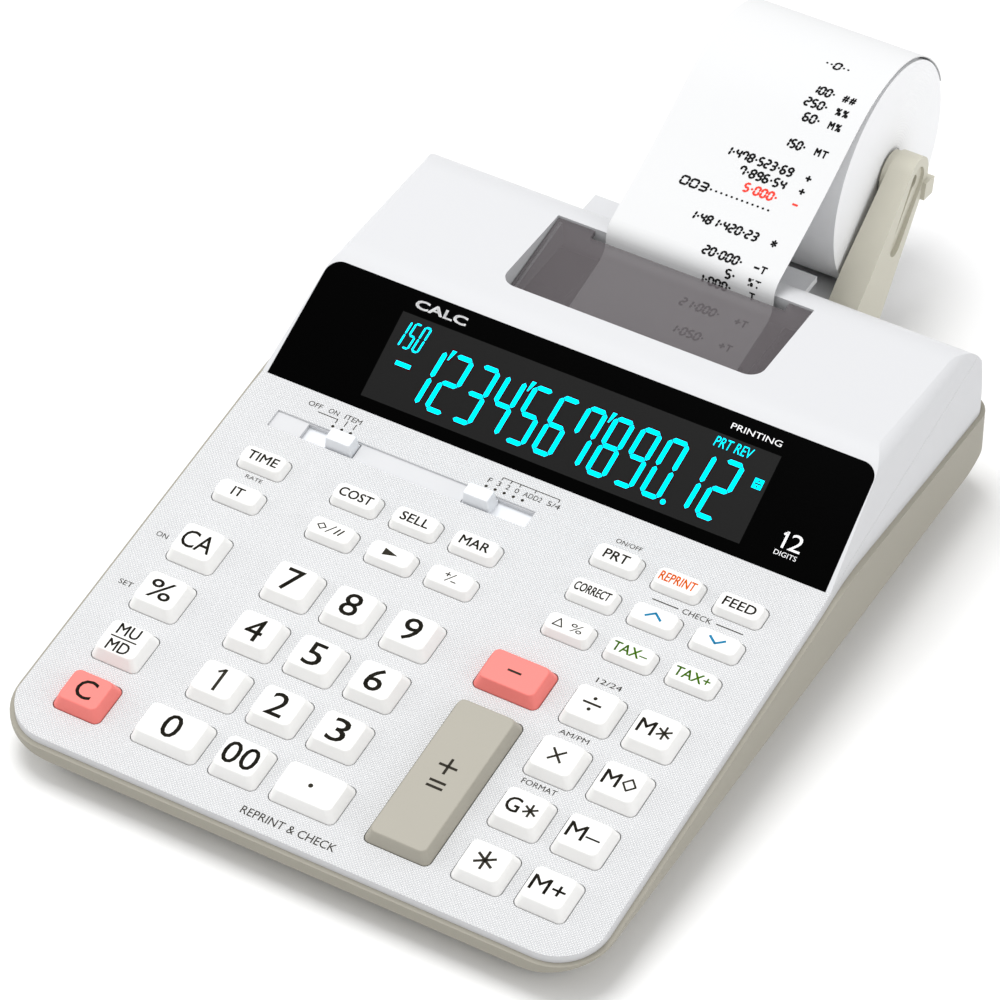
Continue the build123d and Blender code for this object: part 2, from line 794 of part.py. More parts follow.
with BuildPart() as paper_strip:
    with BuildSketch(tape_plane):
        with BuildLine():
            FilletPolyline(
                (under_y, under_z),
                (back(250), bend_low + 2),
                (bend_left, bend_low),
                (bend_left, bend_low + 12),
                (slot_y, 52.6),
                (slot_y + 0.2, 62),
                (back(245.4), 69.3),
                radius=tape_bend,
            )
            Spline(
                (back(245.4), 69.3),
                (back(262.7), 77.5),
                (back(275), 84.1),
                (back(287.2), 89.6),
                (back(300.2), 91.9),
                (back(311.5), 90.9),
                (back(321.5), 86.6),
                (back(329.4), 80.1),
                (back(335.3), 72.5),
                (back(338.4), 65.5),
                tangents=[(16.8, 7.3), (1, -3)],
            )
        trace(line_width=tape_thickness)
    extrude(amount=paper_width / 2, both=True)
save(paper_strip, "paper_strip")

arm_outside = arm_inside + arm_thickness
arm_root_y = back(arm_root_back)


def arm_blank(side):
    """One arm: a rounded bar from its root to the roll's axis, with faces that close in, and a tongue."""
    shrink = 1.5
    far_y = arm_root_y + shrink * (roll_y - arm_root_y)
    near_y = back(body_depth - base_wall)
    with BuildPart() as arm:
        with BuildSketch(tape_plane.offset(side * arm_inside)):
            with BuildLine():
                Polyline((roll_y, roll_axis_height), (arm_root_y, arm_root_height))
            with Locations((roll_y, roll_axis_height)):
                Circle(arm_end_radius)
            with Locations((arm_root_y, arm_root_height)):
                Circle(arm_root_radius)
            make_hull()
        extrude(amount=side * arm_thickness)
        with BuildSketch(tape_plane.offset(side * arm_inside)):
            with BuildLine():
                Polyline(
                    (arm_root_y, arm_root_height - arm_root_radius),
                    (back(body_depth + tongue_neck), tongue_low),
                    (near_y, tongue_low),
                    (near_y, tongue_high),
                    (back(body_depth + tongue_neck), tongue_high),
                    (arm_root_y, arm_root_height),
                    close=True,
                )
            make_face()
        extrude(amount=side * arm_thickness)
        with BuildSketch():
            with BuildLine():
                Polyline(
                    (tape_centre_x + side * arm_inside, near_y),
                    (tape_centre_x + side * arm_inside, arm_root_y),
                    (tape_centre_x + side * (arm_inside + shrink * arm_taper_inside), far_y),
                    (tape_centre_x + side * (arm_outside - shrink * arm_taper_outside), far_y),
                    (tape_centre_x + side * arm_outside, arm_root_y),
                    (tape_centre_x + side * arm_outside, near_y),
                    close=True,
                )
            make_face()
        extrude(amount=4 * roll_radius, mode=Mode.INTERSECT)
    return arm.part


with BuildPart() as roll_holder:
    for side in (-1, 1):
        add(arm_blank(side))
        face = arm_outside - arm_taper_outside - arm_recess
        with BuildSketch(tape_plane.offset(side * face)):
            with Locations((roll_y, roll_axis_height)):
                Circle(5)
            with Locations((roll_y - 13.5, roll_axis_height - 15)):
                Circle(4)
            make_hull()
        extrude(amount=side * arm_thickness, mode=Mode.SUBTRACT)
        with BuildSketch(tape_plane.offset(side * (face - arm_thickness / 3))):
            with Locations((roll_y - 6.5, roll_axis_height - 7.2)):
                Rectangle(1.6, 17, rotation=-42)
        extrude(amount=side * (arm_thickness / 3 + arm_recess / 2))
        with BuildSketch(tape_plane.offset(side * (face - arm_thickness / 3))):
            with Locations((roll_y + arm_end_radius - 1.5, roll_axis_height - arm_end_radius + 1.5)):
                Rectangle(arm_lug, arm_lug, rotation=-10)
        extrude(amount=side * (arm_thickness / 3 + 2 * arm_recess))
        with BuildSketch(tape_plane.offset(side * (arm_inside + 2 * arm_taper_inside))):
            with Locations((roll_y, roll_axis_height)):
                Circle(arm_end_radius - 0.7)
        extrude(amount=-side * (2 * arm_taper_inside + arm_gap / 2))
        with BuildSketch(tape_plane.offset(side * arm_inside)):
            with Locations((roll_y, roll_axis_height)):
                Circle(spindle_radius)
        extrude(amount=-side * (arm_gap + spindle_length))
        with BuildSketch(tape_plane.offset(side * (face - arm_thickness / 3))):
            with Locations((roll_y, roll_axis_height)):
                Circle(2)
        extrude(amount=side * arm_thickness, mode=Mode.SUBTRACT)
    with BuildSketch(Plane.XY.offset(plate_low)):
        with Locations((tape_centre_x, back(arm_root_back - 8))):
            Rectangle(2 * arm_outside, 18)
    extrude(amount=plate_high - plate_low)
save(roll_holder, "roll_holder")
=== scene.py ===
import math

import bmesh
import bpy
from mathutils import Matrix, Vector
from mathutils.bvhtree import BVHTree


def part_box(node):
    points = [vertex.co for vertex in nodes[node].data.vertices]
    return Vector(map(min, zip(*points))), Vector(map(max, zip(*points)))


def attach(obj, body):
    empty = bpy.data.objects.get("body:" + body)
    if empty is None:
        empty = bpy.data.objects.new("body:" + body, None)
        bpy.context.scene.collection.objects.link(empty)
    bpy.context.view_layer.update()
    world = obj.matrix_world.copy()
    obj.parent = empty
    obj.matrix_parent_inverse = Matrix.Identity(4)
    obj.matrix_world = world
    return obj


MM = 0.001
INK_LIFT = 0.03 * MM         # printed marks stand this far off what they are printed on

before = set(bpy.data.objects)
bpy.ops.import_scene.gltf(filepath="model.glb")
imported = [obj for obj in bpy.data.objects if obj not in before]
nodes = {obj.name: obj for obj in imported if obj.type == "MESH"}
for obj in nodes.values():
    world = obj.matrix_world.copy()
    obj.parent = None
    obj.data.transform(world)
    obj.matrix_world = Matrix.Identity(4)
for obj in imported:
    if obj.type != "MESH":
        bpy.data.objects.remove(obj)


def note_size():
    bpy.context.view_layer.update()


note_size()


# ---------------------------------------------------------------- materials
def material(name, colour, roughness=0.5, alpha=1.0, specular=0.5, metal=0.0, glow=0.0, coat=0.0):
    mat = bpy.data.materials.new(name)
    mat.use_nodes = True
    shader = mat.node_tree.nodes["Principled BSDF"]
    shader.inputs["Base Color"].default_value = (*colour, 1)
    shader.inputs["Roughness"].default_value = roughness
    shader.inputs["Alpha"].default_value = alpha
    shader.inputs["Specular IOR Level"].default_value = specular
    shader.inputs["Metallic"].default_value = metal
    shader.inputs["Coat Weight"].default_value = coat
    if glow:
        shader.inputs["Emission Color"].default_value = (*colour, 1)
        shader.inputs["Emission Strength"].default_value = glow
    return mat


def add_grain(mat, size, depth):
    """A fine moulded grain: bump from noise of that size and depth in millimetres."""
    tree = mat.node_tree
    place = tree.nodes.new("ShaderNodeTexCoord")
    noise = tree.nodes.new("ShaderNodeTexNoise")
    noise.inputs["Scale"].default_value = 1 / (size * MM)
    bump = tree.nodes.new("ShaderNodeBump")
    bump.inputs["Distance"].default_value = depth * MM
    tree.links.new(place.outputs["Object"], noise.inputs["Vector"])
    tree.links.new(noise.outputs["Fac"], bump.inputs["Height"])
    tree.links.new(bump.outputs["Normal"], tree.nodes["Principled BSDF"].inputs["Normal"])
    return mat


def shade(mat, dark, size, amount):
    """Slow changes of tone: mixes in a darker colour by noise of that size in millimetres."""
    tree = mat.node_tree
    shader = tree.nodes["Principled BSDF"]
    place = tree.nodes.new("ShaderNodeTexCoord")
    noise = tree.nodes.new("ShaderNodeTexNoise")
    noise.inputs["Scale"].default_value = 1 / (size * MM)
    level = tree.nodes.new("ShaderNodeMath")
    level.operation = "MULTIPLY"
    level.inputs[1].default_value = amount
    blend = tree.nodes.new("ShaderNodeMix")
    blend.data_type = "RGBA"
    blend.inputs["A"].default_value = shader.inputs["Base Color"].default_value
    blend.inputs["B"].default_value = (*dark, 1)
    tree.links.new(place.outputs["Object"], noise.inputs["Vector"])
    tree.links.new(noise.outputs["Fac"], level.inputs[0])
    tree.links.new(level.outputs[0], blend.inputs["Factor"])
    tree.links.new(blend.outputs["Result"], shader.inputs["Base Color"])
    return mat


def moulded(name, colour, roughness, grain=0.45, depth=0.012):
    """Moulded plastic: a fine grain and a slightly uneven tone."""
    mat = add_grain(material(name, colour, roughness, specular=0.25), grain, depth)
    return shade(mat, tuple(c * 0.9 for c in colour), 18, 0.35)


case_colour = (0.625, 0.63, 0.645)
panel_colour = (0.88, 0.885, 0.89)
# painted shade: the base's greige is darkened well below the arm's same plastic, standing in for the
# shade on the base's side walls
greige_darkened_for_shade = (0.33, 0.312, 0.262)
base_greige = moulded("base_greige", greige_darkened_for_shade, 0.5)
arm_greige = moulded("arm_greige", (0.60, 0.58, 0.49), 0.5)
key_white = moulded("key_white", (0.89, 0.885, 0.87), 0.35, depth=0.006)
key_red = moulded("key_red", (0.86, 0.215, 0.19), 0.35, depth=0.006)
key_greige = moulded("key_greige", (0.385, 0.365, 0.31), 0.38, depth=0.006)
knob_white = moulded("knob_white", (0.80, 0.82, 0.85), 0.35, depth=0.006)
bezel_black = material("bezel_black", (0.0005, 0.0005, 0.0005), roughness=0.2, specular=0.01)
window_grey = material("window_grey", (0.010, 0.010, 0.010), roughness=0.3, specular=0.05)
segment_cyan = material("segment_cyan", (0.0, 0.74, 1.0), roughness=0.6, specular=0.0, glow=0.85)
segment_edge = material("segment_edge", (0.035, 0.004, 0.004), roughness=0.6, specular=0.0)
print_white = material("print_white", (0.85, 0.85, 0.86), roughness=0.6)
module_grey = moulded("module_grey", (0.05, 0.05, 0.05), 0.5)
board_green = material("board_green", (0.03, 0.16, 0.08), roughness=0.4)
shade(board_green, (0.02, 0.11, 0.05), 4, 0.8)
mat_grey = moulded("mat_grey", (0.45, 0.45, 0.46), 0.7)
cover_smoke = material(
    "cover_smoke",
    (0.15, 0.135, 0.143),
    roughness=0.3,
    alpha=0.5,
    specular=0.12,
)
frame_black = moulded("frame_black", (0.03, 0.03, 0.033), 0.6)
roller_rubber = moulded("roller_rubber", (0.04, 0.04, 0.04), 0.8, depth=0.03)
paper_white = material("paper_white", (0.70, 0.705, 0.71), roughness=0.85, specular=0.1)
add_grain(paper_white, 0.12, 0.004)
foot_rubber = moulded("foot_rubber", (0.04, 0.04, 0.04), 0.85, depth=0.03)
steel = add_grain(material("steel", (0.62, 0.62, 0.64), roughness=0.3, metal=1.0), 0.3, 0.003)
label_grey = add_grain(material("label_grey", (0.60, 0.60, 0.61), roughness=0.5), 0.3, 0.003)
ink_dark = material("ink_dark", (0.03, 0.027, 0.02), roughness=0.7, specular=0.05)
ink_orange = material("ink_orange", (0.95, 0.20, 0.01), roughness=0.7, specular=0.05)
ink_green = material("ink_green", (0.10, 0.26, 0.01), roughness=0.7, specular=0.05)
ink_blue = material("ink_blue", (0.01, 0.20, 0.38), roughness=0.7, specular=0.05)
tape_black = material("tape_black", (0.01, 0.01, 0.01), roughness=0.8, specular=0.05)
tape_red = material("tape_red", (0.90, 0.06, 0.04), roughness=0.8, specular=0.05)
cover_mark = material("cover_mark", (0.008, 0.007, 0.008), roughness=0.5, specular=0.1)


def wound_paper():
    """The roll's paper: fine rings round the roll's axis on its ends, slightly blue."""
    mat = material("roll_side", (0.90, 0.905, 0.92), roughness=0.8, specular=0.1)
    tree = mat.node_tree
    low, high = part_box("paper_roll")
    place = tree.nodes.new("ShaderNodeTexCoord")
    mapping = tree.nodes.new("ShaderNodeMapping")
    mapping.inputs["Location"].default_value = -(low + high) / 2
    wave = tree.nodes.new("ShaderNodeTexWave")
    wave.wave_type = "RINGS"
    wave.rings_direction = "X"
    wave.inputs["Scale"].default_value = 0.35 / MM
    wave.inputs["Distortion"].default_value = 0.4
    bump = tree.nodes.new("ShaderNodeBump")
    bump.inputs["Distance"].default_value = 0.05 * MM
    tree.links.new(place.outputs["Object"], mapping.inputs["Vector"])
    tree.links.new(mapping.outputs["Vector"], wave.inputs["Vector"])
    tree.links.new(wave.outputs["Fac"], bump.inputs["Height"])
    tree.links.new(bump.outputs["Normal"], tree.nodes["Principled BSDF"].inputs["Normal"])
    return mat


roll_side = wound_paper()


# ---------------------------------------------------------------- the key panel's plane
rise = math.radians(8.34)                  # the key panel's slope
display_rise = math.radians(29.5)
case_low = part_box("top_case")[0]
base_low, base_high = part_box("bottom_case")
panel_foot = Vector((0, case_low.y, 16 * MM))


def tilted(origin, angle):
    """Matrix of a plane that slopes up towards +Y, with X across and Z out of its face."""
    return Matrix.Translation(origin) @ Matrix.Rotation(angle, 4, "X")


panel = tilted(panel_foot, rise)
panel_inverse = panel.inverted()
display = tilted(panel @ Vector((0, 145.4 * MM, 0)), display_rise)


def key_top(node):
    """Middle of a key's top face: X, distance up the panel and height over it."""
    local = [panel_inverse @ v.co for v in nodes[node].data.vertices]
    high = max(p.z for p in local)
    top = [p for p in local if p.z > high - 0.05 * MM]
    xs = [p.x for p in top]
    ys = [p.y for p in top]
    return Vector(((min(xs) + max(xs)) / 2, (min(ys) + max(ys)) / 2, high))


# ---------------------------------------------------------------- flat marks
class Marks:
    """Flat polygons in millimetres on a plane, gathered into one printed piece."""

    def __init__(self):
        self.points = []
        self.faces = []
        self.inks = []

    def polygon(self, outline, ink=0):
        start = len(self.points)
        self.points += outline
        self.faces.append(tuple(range(start, start + len(outline))))
        self.inks.append(ink)

    def stroke(self, route, width, ink=0, closed=False):
        ends = route + route[:1] if closed else route
        for (x0, y0), (x1, y1) in zip(ends, ends[1:]):
            length = math.hypot(x1 - x0, y1 - y0)
            sx = (y1 - y0) / length * width / 2
            sy = (x1 - x0) / length * width / 2
            near = [(x0 + sx, y0 - sy), (x1 + sx, y1 - sy)]
            far = [(x1 - sx, y1 + sy), (x0 - sx, y0 + sy)]
            self.polygon(near + far, ink)
        joints = ends[1:-1] + (ends[:1] if closed else [])
        for x, y in joints:
            self.dot(x, y, width / 2, ink)

    def dot(self, x, y, radius, ink=0, sides=14):
        turns = [2 * math.pi * i / sides for i in range(sides)]
        self.polygon([(x + radius * math.cos(a), y + radius * math.sin(a)) for a in turns], ink)

    def text(self, words, x, y, width, height, ink=0, shear=0.0, bold=0.0):
        """A line of text in a box of that width and cap height, centred on x, y.

        A bold line is laid down four times, each moved that far to a corner.
        """
        curve = bpy.data.curves.new("text", "FONT")
        curve.body = words
        curve.resolution_u = 3
        curve.shear = shear
        item = bpy.data.objects.new("text", curve)
        bpy.context.scene.collection.objects.link(item)
        bpy.context.view_layer.update()
        mesh = bpy.data.meshes.new_from_object(item.evaluated_get(bpy.context.evaluated_depsgraph_get()))
        xs = [v.co.x for v in mesh.vertices]
        ys = [v.co.y for v in mesh.vertices]
        scale_x = (width - 2 * bold) / (max(xs) - min(xs))
        scale_y = (height - 2 * bold) / (max(ys) - min(ys))
        centre_x = (max(xs) + min(xs)) / 2
        centre_y = (max(ys) + min(ys)) / 2
        corners = [(-bold, -bold), (bold, -bold), (-bold, bold), (bold, bold)] if bold else [(0, 0)]
        for shift_x, shift_y in corners:
            start = len(self.points)
            for v in mesh.vertices:
                left = x + shift_x + (v.co.x - centre_x) * scale_x
                up = y + shift_y + (v.co.y - centre_y) * scale_y
                self.points.append((left, up))
            for face in mesh.polygons:
                self.faces.append(tuple(start + i for i in face.vertices))
                self.inks.append(ink)
        bpy.data.objects.remove(item)
        bpy.data.curves.remove(curve)
        bpy.data.meshes.remove(mesh)

    def place(self, name, body, plane, inks, lift=INK_LIFT, bend=None):
        """Lays the marks on a plane, or where bend puts each point, as one object that rides on body."""
        mesh = bpy.data.meshes.new(name)
        if bend:
            corners = [bend(x, y) for x, y in self.points]
        else:
            corners = [plane @ Vector((x * MM, y * MM, lift)) for x, y in self.points]
        mesh.from_pydata(corners, [], self.faces)
        for ink in inks:
            mesh.materials.append(ink)
        for face, ink in zip(mesh.polygons, self.inks):
            face.material_index = ink
        item = bpy.data.objects.new(name, mesh)
        bpy.context.scene.collection.objects.link(item)
        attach(item, body)
        return item


# ---------------------------------------------------------------- legends on the keys
def words(text, width, height):
    return lambda marks: marks.text(text, 0, 0, width, height, bold=0.05 if height > 4 else 0.07)


def one(marks):
    """A figure one: a stem with a flag at its top."""
    marks.stroke([(0.5, -4.1), (0.5, 4.1)], 1.0)
    marks.stroke([(0.5, 3.8), (-1.4, 2.4)], 0.8)


def minus(width, weight):
    return lambda marks: marks.stroke([(-width / 2, 0), (width / 2, 0)], weight)


def star(size, weight, x=0):
    def draw(marks):
        for i in range(3):
            turn = math.pi / 2 + i * math.pi / 3
            dx = size / 2 * math.cos(turn)
            dy = size / 2 * math.sin(turn)
            marks.stroke([(x - dx, -dy), (x + dx, dy)], weight)
    return draw


def multiply(marks):
    for side in (-1, 1):
        marks.stroke([(-2.1, -2.1 * side), (2.1, 2.1 * side)], 0.75)


def divide(marks):
    marks.stroke([(-2.9, 0), (2.9, 0)], 0.75)
    marks.dot(0, 2.0, 0.6)
    marks.dot(0, -2.0, 0.6)


def plus_equals(marks):
    marks.stroke([(-2.9, 2.9), (2.9, 2.9)], 0.85)
    marks.stroke([(0, 0), (0, 5.8)], 0.85)
    marks.stroke([(-2.6, -2.9), (2.6, -2.9)], 0.85)
    marks.stroke([(-2.6, -4.9), (2.6, -4.9)], 0.85)


def point(marks):
    marks.dot(0, 0, 0.75)


def chevron(side):
    return lambda marks: marks.stroke([(-2.6, -1.0 * side), (0, 1.0 * side), (2.6, -1.0 * side)], 0.75)


def subtotal(marks):
    marks.stroke([(-4.6, 0.1), (-3.2, 1.2), (-1.8, 0.1), (-3.2, -1.0)], 0.4, closed=True)
    marks.stroke([(-1.3, -1.5), (1.0, 1.7)], 0.4)
    for x in (1.6, 2.9):
        marks.stroke([(x - 0.2, -1.2), (x + 0.9, 1.3)], 0.55)


def backspace(marks):
    marks.polygon([(-2.3, -1.35), (2.4, 0), (-2.3, 1.35)])


def sign(marks):
    marks.stroke([(-2.1, 0.9), (-0.3, 0.9)], 0.4)
    marks.stroke([(-1.2, 0.1), (-1.2, 1.8)], 0.4)
    marks.stroke([(-1.2, -1.6), (1.2, 1.7)], 0.35)
    marks.stroke([(0.6, -1.1), (2.3, -1.1)], 0.4)


def delta_percent(marks):
    marks.stroke([(-4.6, -1.3), (-1.6, -1.3), (-3.1, 1.4)], 0.4, closed=True)
    marks.text("%", 2.6, 0, 4.0, 3.0)


def markup(marks):
    marks.text("MU", 0, 3.0, 7.2, 4.0, bold=0.06)
    marks.stroke([(-4.3, 0), (4.3, 0)], 0.5)
    marks.text("MD", 0, -3.0, 7.2, 4.0, bold=0.06)


def memory_star(marks):
    marks.text("M", -2.6, 0, 5.0, 5.0, bold=0.07)
    star(4.8, 0.7, 3.0)(marks)


def memory_diamond(marks):
    marks.text("M", -2.6, 0, 5.0, 5.0, bold=0.07)
    marks.stroke([(1.0, 0), (3.0, 2.1), (5.0, 0), (3.0, -2.1)], 0.6, closed=True)


def grand_star(marks):
    marks.text("G", -2.5, 0, 4.4, 5.2, bold=0.07)
    star(4.6, 0.7, 2.9)(marks)


legends = {
    "key_clear_all": words("CA", 10.2, 6.4),
    "key_percent": words("%", 8.0, 6.8),
    "key_markup": markup,
    "key_clear": words("C", 5.8, 6.8),
    "key_0": words("0", 5.6, 8.2),
    "key_00": words("00", 11.0, 7.8),
    "key_point": point,
    "key_minus": minus(4.4, 0.75),
    "key_plus_equals": plus_equals,
    "key_divide": divide,
    "key_multiply": multiply,
    "key_grand_total": grand_star,
    "key_total": star(6.6, 0.85),
    "key_memory_total": memory_star,
    "key_memory_subtotal": memory_diamond,
    "key_memory_minus": words("M–", 10.4, 5.2),
    "key_memory_plus": words("M+", 10.6, 5.2),
    "key_print": words("PRT", 8.0, 3.4),
    "key_reprint": words("REPRINT", 11.6, 3.3),
    "key_feed": words("FEED", 10.4, 3.3),
    "key_time": words("TIME", 10.2, 3.3),
    "key_cost": words("COST", 11.0, 3.3),
    "key_sell": words("SELL", 9.4, 3.3),
    "key_margin": words("MAR", 9.6, 3.3),
    "key_correct": words("CORRECT", 11.6, 3.2),
    "key_up": chevron(1),
    "key_down": chevron(-1),
    "key_item": words("IT", 3.8, 3.3),
    "key_subtotal": subtotal,
    "key_backspace": backspace,
    "key_sign": sign,
    "key_delta_percent": delta_percent,
    "key_tax_minus": words("TAX–", 11.2, 3.4),
    "key_tax_plus": words("TAX+", 11.4, 3.4),
    "key_1": one,
}
for digit in "23456789":
    legends["key_" + digit] = words(digit, 5.6, 8.2)
key_inks = {
    "key_reprint": ink_orange,
    "key_tax_minus": ink_green,
    "key_tax_plus": ink_green,
    "key_up": ink_blue,
    "key_down": ink_blue,
}
for node, draw in legends.items():
    marks = Marks()
    draw(marks)
    top = panel @ Matrix.Translation(key_top(node))
    marks.place("legend_" + node, node, top, [key_inks.get(node, ink_dark)])


# ---------------------------------------------------------------- legends on the panel
def panel_legends():
    marks = Marks()
    for text, x, v, width, height in (
        ("OFF", -74.0, 140.9, 4.6, 1.8),
        ("ON", -67.6, 140.9, 3.4, 1.8),
        ("ITEM", -60.9, 140.9, 5.6, 1.8),
        ("F", -12.9, 138.8, 1.2, 1.8),
        ("3", -9.9, 138.8, 1.2, 1.8),
        ("2", -6.9, 138.8, 1.2, 1.8),
        ("0", -3.9, 138.8, 1.3, 1.8),
        ("ADD2", 1.4, 138.8, 6.0, 1.8),
        ("5/4", 8.4, 138.8, 4.2, 1.8),
        ("ON/OFF", 35.3, 135.6, 8.4, 1.6),
        ("CHECK", 65.3, 121.4, 9.4, 1.9),
        ("12/24", 54.8, 88.8, 8.0, 1.8),
        ("AM/PM", 54.9, 68.4, 9.4, 1.7),
        ("FORMAT", 54.8, 48.8, 11.0, 1.9),
        ("ON", -88.4, 78.2, 3.8, 1.8),
        ("SET", -88.3, 58.3, 4.6, 1.8),
        ("RATE", -75.5, 108.3, 5.6, 1.3),
        ("REPRINT & CHECK", -0.4, 4.8, 30.6, 2.7),
    ):
        marks.text(text, x, v, width, height)
    for x in (-65.1, -62.05, -59.0):
        marks.dot(x, 136.0, 0.5)
    for i in range(5):
        marks.dot(-12.9 + 3.05 * i, 136.4, 0.5)
    marks.stroke([(-72.0, 138.9), (-65.1, 138.9), (-65.1, 137.4)], 0.3)
    marks.stroke([(-62.05, 139.6), (-62.05, 137.4)], 0.3)
    marks.stroke([(-59.0, 139.6), (-59.0, 137.4)], 0.3)
    marks.stroke([(-9.9, 140.3), (-9.9, 141.4), (9.1, 141.4), (9.1, 140.3)], 0.28)
    for x in (-6.9, -3.9, 1.2):
        marks.stroke([(x, 141.4), (x, 140.3)], 0.28)
    marks.stroke([(50.7, 121.4), (59.2, 121.4)], 0.35)
    marks.stroke([(71.4, 121.4), (80.0, 121.4)], 0.35)
    marks.place("panel_legends", "case", panel, [ink_dark])


panel_legends()


# ---------------------------------------------------------------- display
segment_shapes = {
    "a": ((0, 2), (1, 2)),
    "b": ((1, 2), (1, 1)),
    "c": ((1, 1), (1, 0)),
    "d": ((0, 0), (1, 0)),
    "e": ((0, 1), (0, 0)),
    "f": ((0, 2), (0, 1)),
    "g": ((0, 1), (1, 1)),
}
digit_segments = {
    "0": "abcdef",
    "1": "bc",
    "2": "abged",
    "3": "abgcd",
    "4": "fgbc",
    "5": "afgcd",
    "6": "afgedc",
    "7": "fabc",
    "8": "abcdefg",
    "9": "abcdfg",
    "-": "g",
}


def seven_segments(marks, digit, right, low, width, height, weight, lean, grow, ink):
    """One slanted digit, its top right corner at right. grow widens each of its bars."""
    def at(x, y):
        return right - width + x + lean * (y - height) / height, low + y
    for name in digit_segments[digit]:
        (x0, y0), (x1, y1) = segment_shapes[name]
        ax, ay = x0 * (width - weight) + weight / 2, y0 * (height - weight) / 2 + weight / 2
        bx, by = x1 * (width - weight) + weight / 2, y1 * (height - weight) / 2 + weight / 2
        length = math.hypot(bx - ax, by - ay)
        ux, uy = (bx - ax) / length, (by - ay) / length
        half = weight / 2 + grow
        nick = weight * 0.12 - grow
        corners = [
            (ax + ux * nick, ay + uy * nick),
            (ax + ux * (nick + half) - uy * half, ay + uy * (nick + half) + ux * half),
            (bx - ux * (nick + half) - uy * half, by - uy * (nick + half) + ux * half),
            (bx - ux * nick, by - uy * nick),
            (bx - ux * (nick + half) + uy * half, by - uy * (nick + half) - ux * half),
            (ax + ux * (nick + half) + uy * half, ay + uy * (nick + half) - ux * half),
        ]
        marks.polygon([at(x, y) for x, y in corners], ink)


def display_digits(name, grow, inks, lift):
    marks = Marks()
    pitch = 9.06
    for i, digit in enumerate("123456789012"):
        right = -44.0 + pitch * i
        seven_segments(marks, digit, right, 7.0, 6.9, 19.6, 1.5, 1.6, grow, 0)
        if i in (0, 3, 6):
            top = [(right + 0.9 - grow, 27.0 + grow), (right + 2.3 + grow, 27.0 + grow)]
            marks.polygon(top + [(right + 1.0 + grow, 23.6 - grow), (right + 0.5 - grow, 23.6 - grow)])
    marks.dot(37.3, 7.4, 0.85 + grow)
    for i, digit in enumerate("150"):
        seven_segments(marks, digit, -58.6 + 3.3 * i, 22.0, 2.5, 8.9, 0.62, 0.9, grow * 0.7, 0)
    marks.stroke([(-58.0 - grow, 17.3), (-52.9 + grow, 17.3)], 1.4 + 2 * grow)
    marks.text("PRT REV", 49.6, 30.2, 12.4 + grow, 3.2 + grow, shear=0.12)
    if not grow:
        marks.stroke([(59.6, 22.6), (62.6, 22.6)], 3.2)
    marks.place(name, "case", display, inks, lift=lift)


def display_panel():
    """The dark window in the black panel, its lit digits, and the white marks round it."""
    face = -0.15 * MM
    window = Marks()
    window.polygon([(-63.3, 4.1), (63.9, 4.1), (63.9, 32.8), (-63.3, 32.8)])
    window.place("display_lens", "case", display, [window_grey], lift=face + INK_LIFT)
    display_digits("digit_edges", 0.42, [segment_edge], face + 2 * INK_LIFT)
    display_digits("digits", 0, [segment_cyan], face + 3 * INK_LIFT)
    icon = Marks()
    icon.stroke([(60.0, 22.6), (62.2, 22.6)], 0.4)
    icon.dot(61.1, 23.5, 0.28)
    icon.dot(61.1, 21.7, 0.28)
    icon.place("divide_icon", "case", display, [window_grey], lift=face + 4 * INK_LIFT)
    white_marks = Marks()
    white_marks.text("CALC", -52.0, 36.5, 17.5, 2.9, bold=0.12)
    white_marks.text("PRINTING", 54.2, 36.2, 16.5, 1.9)
    white_marks.stroke([(76.0, 7.6), (76.0, 12.8)], 0.8)
    white_marks.stroke([(76.0, 12.5), (75.0, 11.6)], 0.7)
    white_marks.text("2", 79.6, 10.2, 4.0, 5.2)
    white_marks.text("DIGITS", 78.0, 5.9, 7.2, 1.5)
    white_marks.place("display_marks", "case", display, [print_white], lift=face + INK_LIFT)


display_panel()


# ---------------------------------------------------------------- the tape's printing
# Points of the tape's own path in the side view: distance behind the front rim, and height.
tape_route = (
    (208.0, 49.0),
    (226.0, 53.0),
    (229.0, 60.5),
    (229.5, 62.3),
    (245.4, 69.3),
    (262.7, 77.5),
    (275.0, 84.1),
    (287.2, 89.6),
    (300.2, 91.9),
    (311.5, 90.9),
)
tape_zero = 3                # distances along the tape are counted from this point of its route
front = base_low.y / MM


def tape_printer():
    """A function that puts a point, X and distance along the tape, on the tape's printed face."""
    route = [Vector((0, front + y, z)) for y, z in tape_route]
    steps = [(b - a).length for a, b in zip(route, route[1:])]
    start = -sum(steps[:tape_zero])
    surface = BVHTree.FromObject(nodes["paper_strip"], bpy.context.evaluated_depsgraph_get())

    def bend(x, along):
        left = along - start
        for a, b, step in zip(route, route[1:], steps):
            if left <= step or b is route[-1]:
                break
            left -= step
        way = (b - a).normalized()
        out = Vector((0, -way.z, way.y))
        middle = a + way * left
        from_point = Vector((x, middle.y, middle.z)) * MM + out * 2.5 * MM
        hit = surface.ray_cast(from_point, -out, 6 * MM)[0]
        base = hit if hit else Vector((x, middle.y, middle.z)) * MM
        return base + out * 2 * INK_LIFT
    return bend


